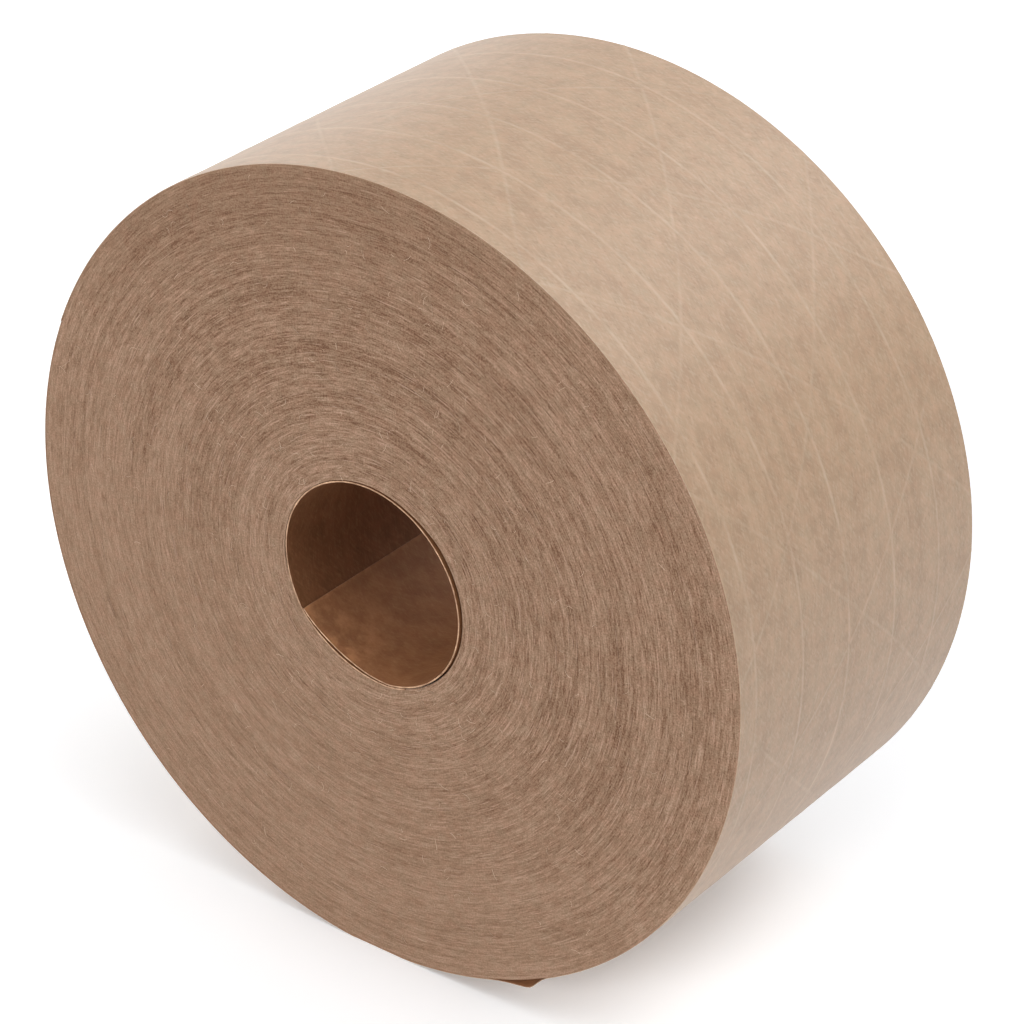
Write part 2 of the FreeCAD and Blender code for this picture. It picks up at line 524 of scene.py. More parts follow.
@dataclass(frozen=True)
class TurnEdges:
    """The slit edges of hundreds of wound turns: raw kraft fibre, matt, with no glaze.

    Each turn shows as a hair line that the slitting knife left paler or darker, in short
    broken strokes with torn fibres between them. A turn is thinner than the strokes here,
    which are drawn just coarse enough to show.
    """

    name: str = "slit_edges_of_wound_kraft"
    # Pale, middle and dark ends of the tone ramp. Besides the knife's own strokes, painted
    # highlight on proud edges and painted shade in sunk ones push towards them.
    proud: str = "#A0826F"
    middle: str = "#816550"
    sunk: str = "#573722"
    roughness: float = 0.85
    ior: float = 1.4
    # Strokes round the axis: width and length in mm, octaves of detail, and weight.
    stroke_kinds: tuple[tuple[float, float, float, float], ...] = (
        (0.20, 2.1, 2.0, 0.45),     # the finest, a little wider than one turn
        (0.42, 5.5, 3.0, 0.20),     # where two or three turns stand alike
        (0.26, 18.0, 1.0, 0.17))    # where one turn stands proud for a long way
    torn_mm: float = 0.32       # specks of torn fibre
    torn_weight: float = 0.36
    mottle_mm: float = 6.0
    mottle_weight: float = 0.06
    relief_shade_weight: float = 0.08     # painted shade and highlight: how much darker sunk edges and paler proud ones are drawn
    tint_mm: float = 2.2        # patches where the pulp is redder or greener
    middle_tone: float = 0.677  # the pattern's value where the edges show their middle colour
    tone_span: float = 0.155    # from there to the proud or the sunk colour
    side_contrast: float = 0.68   # what is left of the strokes on the sides with painted light and shade
    # Sides with painted light and shade, where the strokes are calmed and drawn towards a
    # tone:
    # angle, distances from the axis in mm where it starts and is full, and that tone.
    lit_and_shaded_sides: tuple[tuple[float, float, float, float], ...] = (
        (240.0, -20.0, 50.0, 0.75), (105.0, 40.0, 72.0, 0.58))
    bump_mm: float = 0.05

    def build(self) -> bpy.types.Material:
        """Make the material, with strokes drawn out round the roll's axis.

        Returns:
            The material.
        """
        material = bpy.data.materials.new(self.name)
        tree = empty_tree(material)
        place = add_node(tree, "ShaderNodeTexCoord").outputs["Object"]
        patterns = [(self.strokes(tree, place, width, length, detail), weight)
                    for width, length, detail, weight in self.stroke_kinds]
        torn = add_node(tree, "ShaderNodeTexNoise", {
            "Vector": place, "Scale": 1.0 / (self.torn_mm * MM), "Detail": 1.0})
        mottle = add_node(tree, "ShaderNodeTexNoise", {
            "Vector": place, "Scale": 1.0 / (self.mottle_mm * MM), "Detail": 3.0,
            "Roughness": 0.55})
        # Painted shade and highlight: sunk turn edges are drawn darker, proud ones paler.
        relief = add_node(tree, "ShaderNodeAttribute", attribute_name="relief")
        patterns += [(torn, self.torn_weight), (mottle, self.mottle_weight),
                     (relief.outputs["Fac"], self.relief_shade_weight)]
        total = None
        for pattern, weight in patterns:
            part = add_node(tree, "ShaderNodeMath", (pattern, weight), operation="MULTIPLY")
            total = part if total is None else add_node(
                tree, "ShaderNodeMath", (total, part), operation="ADD")
        # Painted light on the lower left side and painted shade at the top.
        for side in self.lit_and_shaded_sides:
            total = self.paint_side_light(tree, place, total, *side)
        share = add_node(tree, "ShaderNodeMapRange", (
            total, self.middle_tone - self.tone_span, self.middle_tone + self.tone_span))
        ramp = add_node(tree, "ShaderNodeValToRGB", (share,))
        ramp.color_ramp.elements[0].color = linear(self.sunk)
        ramp.color_ramp.elements[1].color = linear(self.proud)
        ramp.color_ramp.elements.new(0.5).color = linear(self.middle)
        cover(tree, total, self.bump_mm, {
            "Base Color": tint(tree, place, self.tint_mm * MM, ramp),
            "Roughness": self.roughness, "IOR": self.ior})
        return material

    def paint_side_light(self, tree: bpy.types.NodeTree, place: Wire, strokes: Wire, angle: float,
            start: float, full: float, tone: float) -> Wire:
        """Calm the strokes on one side of the roll and draw them towards a tone: painted light
        where the tone is paler, painted shade where it is darker.

        Args:
            tree: The material's tree.
            place: Object coordinates, in metres.
            strokes: The pattern.
            angle: The side, in degrees from +X towards +Z.
            start: Distance from the axis where this starts, in millimetres.
            full: Distance where it is strongest.
            tone: The value that the pattern is drawn towards: paler for painted light, darker
                for painted shade.

        Returns:
            The same pattern with less contrast on that side.
        """
        turn = math.radians(angle)
        towards = add_node(tree, "ShaderNodeVectorMath", (
            place, (math.cos(turn), 0.0, math.sin(turn))), operation="DOT_PRODUCT")
        left = add_node(tree, "ShaderNodeMapRange", (
            towards, start * MM, full * MM, 1.0, self.side_contrast),
            interpolation_type="SMOOTHSTEP")
        away = add_node(tree, "ShaderNodeMath", (strokes, tone), operation="SUBTRACT")
        return add_node(tree, "ShaderNodeMath", (away, left, tone), operation="MULTIPLY_ADD")

    @staticmethod
    def strokes(tree: bpy.types.NodeTree, place: Wire, width: float, length: float,
                detail: float) -> Wire:
        """Noise that is drawn out into strokes round the axis.

        Args:
            tree: The material's tree.
            place: Object coordinates, in metres.
            width: The width of a stroke, in millimetres.
            length: Its length.
            detail: How many finer octaves the noise has.

        Returns:
            The noise, about 0.5 on average.
        """
        scale = 1.0 / (length * MM)
        flat = add_node(tree, "ShaderNodeVectorMath", (place, (scale, 0.0, scale)),
                        operation="MULTIPLY")
        around = add_node(tree, "ShaderNodeVectorMath", (flat,), operation="LENGTH")
        step = add_node(tree, "ShaderNodeMath", (around, length / width),
                        operation="MULTIPLY")
        depth = add_node(tree, "ShaderNodeCombineXYZ", {"Y": step})
        drawn = add_node(tree, "ShaderNodeVectorMath", (flat, depth), operation="ADD")
        return add_node(tree, "ShaderNodeTexNoise", {
            "Vector": drawn, "Scale": 1.0, "Detail": detail, "Roughness": 0.6})


@dataclass(frozen=True)
class Plain:
    """A small or hidden finish with a speckle in its colour and its surface."""

    name: str
    colour: str
    speckle: str
    roughness: float
    grain_mm: float
    bump_mm: float = 0.006
    ior: float = 1.45
    coat: float = 0.0
    coat_roughness: float = 0.3
    detail: float = 3.0
    grain_range: tuple[float, float] = (0.35, 0.7)

    def build(self) -> bpy.types.Material:
        """Make the material on Object coordinates.

        Returns:
            The material.
        """
        material = bpy.data.materials.new(self.name)
        tree = empty_tree(material)
        place = add_node(tree, "ShaderNodeTexCoord").outputs["Object"]
        grain = add_node(tree, "ShaderNodeTexNoise", {
            "Vector": place, "Scale": 1.0 / (self.grain_mm * MM),
            "Detail": self.detail, "Roughness": 0.65})
        share = add_node(tree, "ShaderNodeMapRange", (grain, *self.grain_range))
        colour = add_node(tree, "ShaderNodeMix", (
            share, linear(self.colour), linear(self.speckle)), data_type="RGBA")
        cover(tree, grain, self.bump_mm, {
            "Base Color": colour, "Roughness": self.roughness, "IOR": self.ior,
            "Coat Weight": self.coat, "Coat Roughness": self.coat_roughness})
        return material


@dataclass(frozen=True)
class SeamlessPaper:
    """White seamless paper under the roll. A glow makes it white; it keeps the roll's lamp-lit
    shadow and adds a painted shadow where the glow is dimmed near the roll.
    """

    name: str = "white_seamless_paper"
    colour: str = "#F4F6F9"
    # How much each glow adds, and how far off in mm a thing still dims it into painted shadow.
    glows: tuple[tuple[float, float], ...] = ((0.08, 5.0), (0.14, 16.0), (0.22, 150.0))
    in_gloss: float = 0.6       # how much of the glow a gloss still mirrors

    def build(self) -> bpy.types.Material:
        """Make the material, which glows only as seen directly or in a gloss.

        Returns:
            The material.
        """
        material = bpy.data.materials.new(self.name)
        tree = empty_tree(material)
        path = add_node(tree, "ShaderNodeLightPath")
        seen = add_node(tree, "ShaderNodeMath", (
            path.outputs["Is Glossy Ray"], self.in_gloss, path.outputs["Is Camera Ray"]),
            operation="MULTIPLY_ADD")
        matt = add_node(tree, "ShaderNodeBsdfDiffuse", {"Color": linear(self.colour)})
        glow_with_painted_shadow = 0.0
        # Painted shadow: each glow is dimmed by ambient occlusion near the roll.
        for share, distance in self.glows:
            open_sky = add_node(tree, "ShaderNodeAmbientOcclusion", {
                "Distance": distance * MM}, samples=16)
            glow_with_painted_shadow = add_node(tree, "ShaderNodeMath", (open_sky.outputs["AO"], share, glow_with_painted_shadow),
                           operation="MULTIPLY_ADD")
        strength = add_node(tree, "ShaderNodeMath", (seen, glow_with_painted_shadow), operation="MULTIPLY")
        glow = add_node(tree, "ShaderNodeEmission", {"Color": WHITE, "Strength": strength})
        both = add_node(tree, "ShaderNodeAddShader", (matt, glow))
        add_node(tree, "ShaderNodeOutputMaterial", (both,))
        return material


@dataclass
class Finishes:
    """Every material of the roll."""

    face: bpy.types.Material = field(init=False)
    base: bpy.types.Material = field(init=False)
    liner: bpy.types.Material = field(init=False)
    liner_cut: bpy.types.Material = field(init=False)
    edges: bpy.types.Material = field(init=False)
    gum: bpy.types.Material = field(init=False)
    adhesive: bpy.types.Material = field(init=False)
    yarn: bpy.types.Material = field(init=False)
    fibre: bpy.types.Material = field(init=False)

    def __post_init__(self) -> None:
        """Build the materials."""
        self.face = Paper("machine_glazed_kraft").build()
        # The same pulp without the glaze: matt, and a little darker.
        self.base = Paper("uncoated_kraft", colour="#AC8E74", shade="#997B63",
                          fibre="#C0A68E", roughness=0.75, crest_strength=0.0).build()
        # Unglazed kraft of a darker pulp, drawn paler as painted light past its lapping edge
        # and near its mouth, and in a band along that edge.
        self.liner = Paper("brown_liner_kraft", colour="#8B5D3E", shade="#774C2E",
                           fibre="#A97C58", shive="#563823", crest_tone="#CD9064",
                           roughness=0.60, ior=1.3, sheen=0.0, crest_strength=1.0,
                           crest_patch_mm=5.0).build()
        # The liner's sheared edge, drawn paler than its face.
        self.liner_cut = Plain("sheared_liner_kraft", "#C5A081", "#6E4D36", 0.85, 1.6,
                               detail=6.0).build()
        self.edges = TurnEdges().build()
        # A brushed and dried starch film with a slight uneven gloss, drawn darker than it is
        # as painted shade in the gap under the buckle.
        self.gum = Plain("dried_starch_gum", "#9C6E4E", "#84583B", 0.38, 1.4, 0.01,
                         coat=0.25).build()
        # A hot-melt film between the plies: pale, waxy and a little shiny.
        self.adhesive = Plain("hot_melt_film", "#CDBFAC", "#BCAD99", 0.5, 0.8).build()
        # Untwisted glass yarn: nearly white and silky.
        self.yarn = Plain("flat_glass_yarn", "#E4DED2", "#CFC8BA", 0.4, 0.15,
                          ior=1.52).build()
        # Single torn wood fibres: pale straw, matt.
        self.fibre = Plain("torn_wood_fibre", "#CBB49E", "#B4987F", 0.8, 0.3).build()


# ---------------------------------------------------------------------------------------
# The web and its winding
# ---------------------------------------------------------------------------------------

@dataclass(frozen=True)
class Buckle:
    """Where the web's front edge lifted off the turn below, near the foot.

    Attributes:
        angles: Places round the front edge, in degrees from +X towards +Z.
        lifts: How far the edge stands off there, in millimetres.
        reach: How far the buckle runs in from the front edge, in millimetres.
        fall: How fast it dies out inwards; 1 is a straight cone.
    """

    angles: tuple[float, ...] = (289.6, 291.0, 292.4, 293.8, 294.8, 295.6, 296.2, 296.9,
                                 297.8, 298.8, 299.8)
    lifts: tuple[float, ...] = (0.0, 0.10, 0.36, 0.76, 1.08, 1.34, 1.42, 1.18, 0.72, 0.24, 0.0)
    reach: float = 17.0
    fall: float = 1.35

    def lift(self, angle: np.ndarray, from_edge: np.ndarray) -> np.ndarray:
        """Height of the buckle above the plain winding.

        Args:
            angle: Places round the roll, in degrees of one turn.
            from_edge: Places across the web, from its front edge.

        Returns:
            The height at each place, in millimetres.
        """
        share = np.clip(1.0 - from_edge / self.reach, 0.0, 1.0) ** self.fall
        return np.interp(angle % FULL_TURN, self.angles, self.lifts) * share


@dataclass(frozen=True)
class Winding:
    """The last turn's path: two half circles about centres that lie a little apart."""

    web_width: float
    outer_radius: float = 74.1
    web_thickness: float = 0.162
    foot_width: float = 12.0
    foot_angle: float = 270.0
    foot_reach: float = 30.0    # degrees to both sides, within which the foot lies
    free_end: float = 157.0
    tail_length: float = 28.0
    buckle: Buckle = Buckle()

    @property
    def quarter(self) -> float:
        """A quarter of the web's thickness, by which each half turn's centre is shifted."""
        return self.web_thickness / 4.0

    @property
    def length(self) -> float:
        """Length of the last turn along its outer face."""
        return math.radians(FULL_TURN) * self.outer_radius

    @property
    def hinge_angle(self) -> float:
        """Where the tail starts, in degrees within the last turn."""
        far_radius = self.outer_radius - self.quarter
        return self.free_end + FULL_TURN - math.degrees(self.tail_length / far_radius)

    @property
    def front(self) -> float:
        """Place of the web's front edge along the roll's axis."""
        return -self.web_width / 2.0

    def along(self, angle: float) -> float:
        """Distance back from the free end to an angle of the last turn."""
        return math.radians(self.free_end + FULL_TURN - angle) * self.outer_radius

    def place(self, angle: np.ndarray, across: np.ndarray, height: np.ndarray) -> np.ndarray:
        """Find points of the wound web.

        Args:
            angle: Degrees within the last turn, from the free end's angle to one turn on.
            across: Places along the roll's axis.
            height: Heights above the web's outer face; layers below it have negative ones.

        Returns:
            The points in the frame, in millimetres.
        """
        far = angle >= self.free_end + HALF_TURN
        shift = np.where(far, self.quarter, -self.quarter)
        radius = self.outer_radius - np.where(far, self.quarter, 3.0 * self.quarter) + height
        flat_radius = self.outer_radius - 3.0 * self.quarter
        drop = flat_radius - math.sqrt(flat_radius ** 2 - (self.foot_width / 2.0) ** 2)
        from_foot = np.clip(angle - self.foot_angle, -self.foot_reach, self.foot_reach)
        chord = (radius - drop) / np.cos(np.radians(from_foot))
        under = np.abs(from_foot) < self.foot_reach
        radius = np.where(under, np.minimum(radius, chord), radius)
        radius = radius + self.buckle.lift(angle, across - self.front)
        turn, end = np.radians(angle), math.radians(self.free_end)
        return np.stack([shift * math.cos(end) + radius * np.cos(turn), across,
                         shift * math.sin(end) + radius * np.sin(turn)], axis=1)

    def wind(self, sheet: Sheet) -> np.ndarray:
        """Wind a flat sheet onto the roll.

        Args:
            sheet: Its corners count back from the free end along the web, from the middle
                across it, and up from its outer face.

        Returns:
            The corners in the frame, in millimetres.
        """
        back, across, height = sheet.points.T
        angle = self.free_end + FULL_TURN - np.degrees(back / self.outer_radius)
        return self.place(angle, across, height)


@dataclass(frozen=True)
class Yarns:
    """One family of reinforcing yarns: its level in the web, and how it is laid."""

    top: float
    bottom: float
    pitch: float
    offset: float
    hand: Hand | None = None
    width: float = 0.6
    show: float = 1.0           # how well its ridges show in the face ply


@dataclass
class YarnLattice:
    """Lays yarns, or the ridges that they press into the face ply, with one geometry tree."""

    winding: Winding
    slope: float = 45.0
    ridge_segment: float = 0.75     # length of a ridge's faces
    ridge_columns: int = 7          # corners across a ridge
    yarn_segment: float = 0.35      # length of a yarn's faces, shorter than the ply's columns
    yarn_columns: int = 4
    drift: float = 0.20         # how far a yarn strays from its straight line
    # The waves in which it strays along the web and across it: size, lengths across the web
    # and along it in mm, and phase.
    waves_along: tuple[tuple[float, ...], ...] = ((1.0, 9.0, 61.0, 0.0), (0.5, 4.1, 23.0, 0.0))
    waves_across: tuple[tuple[float, ...], ...] = (
        (1.4, 13.0, 17.0, 0.0), (0.5, math.inf, 7.3, 2.1))
    straight_at_cuts: float = 6.0   # distance from a cut over which the straying sets in
    straight_at_sides: float = 3.0
    tree: bpy.types.NodeTree = field(init=False)

    def __post_init__(self) -> None:
        """Build the tree."""
        self.tree = self.build_tree()

    @staticmethod
    def build_tree() -> bpy.types.NodeTree:
        """Make the tree: one crowned strip, repeated and sheared.

        Returns:
            The geometry tree.
        """
        tree, wires, out = new_geometry_tree(
            "yarn_lattice", Vector=("Strip Size", "Start", "Step"),
            Int=("Strip Segments", "Width Segments", "Count"),
            Float=("Crown", "Turn", "Shear"), Material=("Material",))
        strip = add_node(tree, "GeometryNodeMeshCube", {
            "Size": wires["Strip Size"], "Vertices X": wires["Width Segments"],
            "Vertices Y": wires["Strip Segments"], "Vertices Z": 2})
        sizes = add_node(tree, "ShaderNodeSeparateXYZ", (wires["Strip Size"],)).outputs
        wires.update({"width": sizes[0], "thickness": sizes[2]})
        add_steps(tree, "ShaderNodeMath", wires, (
            ("half", "MULTIPLY", "width", 0.5),
            ("share", "DIVIDE", "x", "half"),
            ("square", "POWER", "share", 2.0),
            ("rest", "SUBTRACT", 1.0, "square"),
            ("clear", "MAXIMUM", "rest", 0.0),
            ("bell", "POWER", "clear", 2.0),
            ("rise", "MULTIPLY", "bell", "Crown"),
            ("sink", "MULTIPLY", "thickness", -1.0),
            ("is_top", "GREATER_THAN", "z", 0.0),
            ("lean", "MULTIPLY", "y", "Shear")))
        level = add_node(tree, "ShaderNodeMix", (
            wires["is_top"], wires["sink"], wires["rise"]), data_type="FLOAT")
        crowned = add_node(tree, "ShaderNodeCombineXYZ", (wires["x"], wires["y"], level))
        marked = add_node(tree, "GeometryNodeStoreNamedAttribute", {
            "Geometry": strip, "Name": "crest", "Value": wires["bell"]},
            data_type="FLOAT", domain="POINT")
        shaped = add_node(tree, "GeometryNodeSetPosition", {
            "Geometry": marked, "Position": crowned})
        turn = add_node(tree, "ShaderNodeCombineXYZ", {"Z": wires["Turn"]})
        turned = add_node(tree, "GeometryNodeTransform", {
            "Geometry": shaped, "Rotation": turn})
        line = add_node(tree, "GeometryNodeMeshLine", {
            "Count": wires["Count"], "Start Location": wires["Start"],
            "Offset": wires["Step"]}, mode="OFFSET")
        copies = add_node(tree, "GeometryNodeInstanceOnPoints", {
            "Points": line, "Instance": turned})
        real = add_node(tree, "GeometryNodeRealizeInstances", (copies,))
        leaning = add_node(tree, "ShaderNodeCombineXYZ", (wires["lean"],))
        slanted = add_node(tree, "GeometryNodeSetPosition", {
            "Geometry": real, "Offset": leaning})
        dressed = add_node(tree, "GeometryNodeSetMaterial", {
            "Geometry": slanted, "Material": wires["Material"]})
        tree.links.new(dressed.outputs[0], out.inputs[0])
        return tree

    def lay(self, yarns: Yarns, start: float, end: float, material: bpy.types.Material,
            crown: float = 0.0) -> Sheet:
        """Lay one family over a stretch of the web.

        Args:
            yarns: The family; its top and bottom are heights above the outer face.
            start: Where the stretch starts, counted back from the free end.
            end: Where it ends.
            material: The material that the tree sets.
            crown: How far the middle of a strip stands above its sides.

        Returns:
            The strips, flat, in one mesh.
        """
        half = self.winding.web_width / 2.0
        if yarns.hand is None:
            turn, shear, length = math.pi / 2.0, 0.0, end - start
            count = int((self.winding.web_width - 2.0 * yarns.offset) / yarns.pitch) + 1
            first = ((start + end) / 2.0, -half + yarns.offset, yarns.top)
            step = (0.0, yarns.pitch, 0.0)
            width = yarns.width
        else:
            lean = 1.0 / math.tan(math.radians(self.slope))
            turn, shear, length = 0.0, yarns.hand.value * lean, self.winding.web_width
            low = math.ceil((start - half * lean - yarns.offset) / yarns.pitch)
            high = math.floor((end + half * lean - yarns.offset) / yarns.pitch)
            count = high - low + 1
            first = (yarns.offset + low * yarns.pitch, 0.0, yarns.top)
            step = (yarns.pitch, 0.0, 0.0)
            width = yarns.width / math.sin(math.radians(self.slope))
        segment, columns = ((self.ridge_segment, self.ridge_columns) if crown else
                            (self.yarn_segment, self.yarn_columns))
        mesh = from_nodes(self.tree, {
            "Strip Size": (width, length, yarns.top - yarns.bottom),
            "Strip Segments": int(length / segment), "Width Segments": columns,
            "Crown": crown, "Turn": turn, "Count": count, "Start": first, "Step": step,
            "Shear": shear, "Material": material})
        if yarns.hand is not None:
            self.cut(mesh, start, end)
        laid = as_sheet(mesh)
        laid.points = self.stray(laid.points, start, end)
        return laid

    @staticmethod
    def cut(mesh: bpy.types.Mesh, start: float, end: float) -> None:
        """Cut slanting strips off at both ends of a stretch of the web, and close them there.

        Args:
            mesh: The strips, flat. They are changed.
            start: Where the stretch starts, counted back from the free end.
            end: Where it ends.
        """
        shape = bmesh.new()
        shape.from_mesh(mesh)
        for place, outwards in ((start, -1.0), (end, 1.0)):
            sliced = bmesh.ops.bisect_plane(
                shape, geom=[*shape.verts, *shape.edges, *shape.faces], dist=ON_PLANE,
                plane_co=(place, 0.0, 0.0), plane_no=(outwards, 0.0, 0.0), clear_outer=True)
            rim = [part for part in sliced["geom_cut"]
                   if isinstance(part, bmesh.types.BMEdge)]
            bmesh.ops.holes_fill(shape, edges=rim, sides=0)
        bmesh.ops.recalc_face_normals(shape, faces=shape.faces)
        shape.to_mesh(mesh)
        shape.free()

    def stray(self, points: np.ndarray, start: float, end: float) -> np.ndarray:
        """Let yarns, and what lies beside them, run a little unevenly as on a loose web.

        Args:
            points: Places along the web and across it, and heights.
            start: Where this stretch of the web starts; its cut stays straight.
            end: Where it ends.

        Returns:
            The points, moved within the web.
        """
        along, across = points[:, 0], points[:, 1]
        from_cuts = np.minimum(along - start, end - along) / self.straight_at_cuts
        from_sides = (self.winding.web_width / 2.0 - np.abs(across)) / self.straight_at_sides
        moved = points.copy()
        for axis, inside, waves in ((0, from_cuts, self.waves_along),
                                    (1, from_sides, self.waves_across)):
            moved[:, axis] += self.drift * np.clip(inside, 0.0, 1.0) * sum(
                size * np.sin(across / wide + along / long + phase)
                for size, wide, long, phase in waves)
        return moved


@dataclass
class Web:
    """The laminated web of the last turn and of its tail."""

    winding: Winding
    finishes: Finishes
    face_ply: float = 0.050
    right_yarn_level: float = 0.015
    long_yarn_level: float = 0.020
    left_yarn_level: float = 0.015
    base_ply: float = 0.050
    gum_film: float = 0.012
    crest_depth: float = 0.010  # the ridges' tops, below the web's nominal face
    emboss: float = 0.040       # the face between the ridges
    ridge_width: float = 1.05
    ridge_sink: float = 0.004   # the ridges' sides start this far below the face
    edge_to_first_yarn: float = 4.3
    long_pitch: float = 13.65
    left_pitch: float = 40.5
    right_pitch: float = 38.4
    cut_to_left_yarn: float = 35.9
    cut_to_right_yarn: float = 7.1
    fine_step: float = 0.4      # faces along the buckle
    buckle_margin: float = 0.5  # how far the other faces keep off it
    plain_step: float = 1.3     # faces along the rest of the web
    edge_rows: tuple[float, ...] = (0.0, 0.4, 1.0, 1.8, 2.8, 4.0, 5.4, 7.0, 9.0, 11.5, 14.2,
                                    17.0)
    row_step: float = 4.4
    row_margin: float = 0.05    # how far rows keep off the sides of a slab
    bend_length: float = 9.0    # stretch of the tail whose ends bend places
    lattice: YarnLattice = field(init=False)

    def __post_init__(self) -> None:
        """Prepare the lattice."""
        self.lattice = YarnLattice(self.winding)

    def families(self) -> dict[str, Yarns]:
        """The three families of yarns.

        Returns:
            Each one by the name of its layer.
        """
        top = -self.face_ply
        middle = top - self.right_yarn_level
        low = middle - self.long_yarn_level
        return {
            "right_yarns": Yarns(top, middle, self.right_pitch, self.cut_to_right_yarn,
                                 Hand.RIGHT, show=0.6),
            "long_yarns": Yarns(middle, low, self.long_pitch, self.edge_to_first_yarn),
            "left_yarns": Yarns(low, low - self.left_yarn_level, self.left_pitch,
                                self.cut_to_left_yarn, Hand.LEFT, show=0.6)}

    def columns(self, start: float, end: float) -> np.ndarray:
        """Places along a stretch of the web, closer together over the buckle.

        Args:
            start: Where the stretch starts, counted back from the free end.
            end: Where it ends.

        Returns:
            Rising places, with both ends among them.
        """
        winding = self.winding
        kinks = sorted(winding.along(angle) for angle in winding.buckle.angles)
        low, high = kinks[0], kinks[-1]
        places = list(np.linspace(start, end, max(2, int((end - start) / self.plain_step))))
        if start < low and high < end:
            margin = self.buckle_margin
            places = [place for place in places if not low - margin < place < high + margin]
            for near, far in zip(kinks, kinks[1:]):
                count = math.ceil((far - near) / self.fine_step)
                places += list(np.linspace(near, far, count, endpoint=False))
            places.append(high)
        return np.array(sorted(places))

    def rows(self, low: float, high: float) -> np.ndarray:
        """Places across the web, closer together where the buckle is.

        Args:
            low: The first place, from the front edge.
            high: The last one.

        Returns:
            Rising places along the roll's axis, with both ends among them.
        """
        width = self.winding.web_width
        rest = np.arange(self.edge_rows[-1] + self.row_step, width, self.row_step)
        inside = [row for row in (*self.edge_rows, *rest)
                  if low + self.row_margin < row < high - self.row_margin]
        return np.array([low, *inside, high]) + self.winding.front

    def adhesive(self, start: float, end: float) -> Sheet:
        """Bands of adhesive between the lengthwise yarns.

        Args:
            start: Where the stretch starts, counted back from the free end.
            end: Where it ends.

        Returns:
            The bands, flat, in one mesh.
        """
        family = self.families()["long_yarns"]
        width = self.winding.web_width
        count = int((width - 2.0 * family.offset) / family.pitch) + 1
        places = [family.offset - family.width / 2.0 + index * family.pitch
                  for index in range(count)]
        bands, low = None, 0.0
        for place in (*places, width):
            band = slab(self.columns(start, end), self.rows(low, place), family.top,
                        family.bottom)
            bands = band if bands is None else bands.joined(band)
            low = place + family.width
        bands.points = self.lattice.stray(bands.points, start, end)
        return bands

    def face(self, start: float, end: float) -> Sheet:
        """The face ply with the ridges that the yarns press into it.

        Args:
            start: Where the stretch starts, counted back from the free end.
            end: Where it ends.

        Returns:
            The ply, flat, in one mesh.
        """
        ply = slab(self.columns(start, end), self.rows(0.0, self.winding.web_width),
                   -self.emboss, -self.face_ply)
        foot = -self.emboss - self.ridge_sink
        for family in self.families().values():
            ridge = Yarns(foot, foot - self.ridge_sink, family.pitch, family.offset,
                          family.hand, self.ridge_width)
            laid = self.lattice.lay(ridge, start, end, self.finishes.face,
                                    self.emboss + self.ridge_sink - self.crest_depth)
            laid.crest *= family.show
            ply = ply.joined(laid)
        return ply

    def layers(self, start: float, end: float) -> dict[str, tuple[Sheet, Any, Slot]]:
        """Every layer of a stretch of the web.

        Args:
            start: Where the stretch starts, counted back from the free end.
            end: Where it ends.

        Returns:
            For each layer's name, its flat mesh, its material and its slot.
        """
        done = self.finishes
        columns, rows = self.columns(start, end), self.rows(0.0, self.winding.web_width)
        families = self.families()
        under = families["left_yarns"].bottom
        back = under - self.base_ply
        made = {
            "face_ply": (self.face(start, end), done.face, Slot.FACE_PAPER),
            "base_ply": (slab(columns, rows, under, back), done.base, Slot.BASE_PAPER),
            "gum_film": (slab(columns, rows, back, back - self.gum_film), done.gum,
                         Slot.DRIED_GUM),
            "adhesive": (self.adhesive(start, end), done.adhesive,
                         Slot.LAMINATING_ADHESIVE)}
        for name, family in families.items():
            made[name] = (self.lattice.lay(family, start, end, done.yarn), done.yarn,
                          Slot.YARN)
        return made

    def build(self) -> None:
        """Make the last turn on the roll, and the tail."""
        hinge = self.winding.along(self.winding.hinge_angle)
        for stretch, start, end in (("last_turn", hinge, self.winding.length),
                                    ("tail", 0.0, hinge)):
            for layer, (sheet, material, slot) in self.layers(start, end).items():
                node = f"{stretch}_{layer}"
                piece = make_piece(f"{node}_wound", self.winding.wind(sheet), sheet.faces,
                                   [material], sheet.points[:, :2], crest=sheet.crest)
                if stretch == "tail":
                    self.bend(piece)
                else:
                    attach(piece, "roll")
                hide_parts(node)
                LOG.info("%s: %d faces", piece.name, len(sheet.faces))

    def bend(self, piece: bpy.types.Object) -> None:
        """Find the ends of the tail's bend stretch, and bake a layer's transform into its
        mesh.

        Args:
            piece: The layer.
        """
        ends = np.array([self.winding.hinge_angle, self.winding.hinge_angle
                         + math.degrees(self.bend_length / self.winding.outer_radius)])
        start, end = self.winding.place(ends, np.zeros(2), np.zeros(2)) * MM
        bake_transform(piece)


# ---------------------------------------------------------------------------------------
# The wound turns under the last one
# ---------------------------------------------------------------------------------------

@dataclass(frozen=True)
class CoreShape:
    """How the bore and its liner depart from a circle, in degrees from +X towards +Z."""

    long_axis: float = 135.0
    lap_angle: float = 212.8    # the liner's free edge
    flat_angle: float = 68.0    # the stretch behind that edge, which is flattened

    def stray(self, angle: np.ndarray, squash: float, flat: float) -> np.ndarray:
        """How far out the shape lies from its mean circle.

        Args:
            angle: Places round the bore.
            squash: How far it is out of round.
            flat: How far the flattened stretch lies in.

        Returns:
            The distance at each place, in millimetres.
        """
        past = (angle - self.lap_angle) % FULL_TURN
        flattened = np.sin(math.pi * np.clip(past / self.flat_angle, 0.0, 1.0))
        return squash * np.cos(2.0 * np.radians(angle - self.long_axis)) - flat * flattened


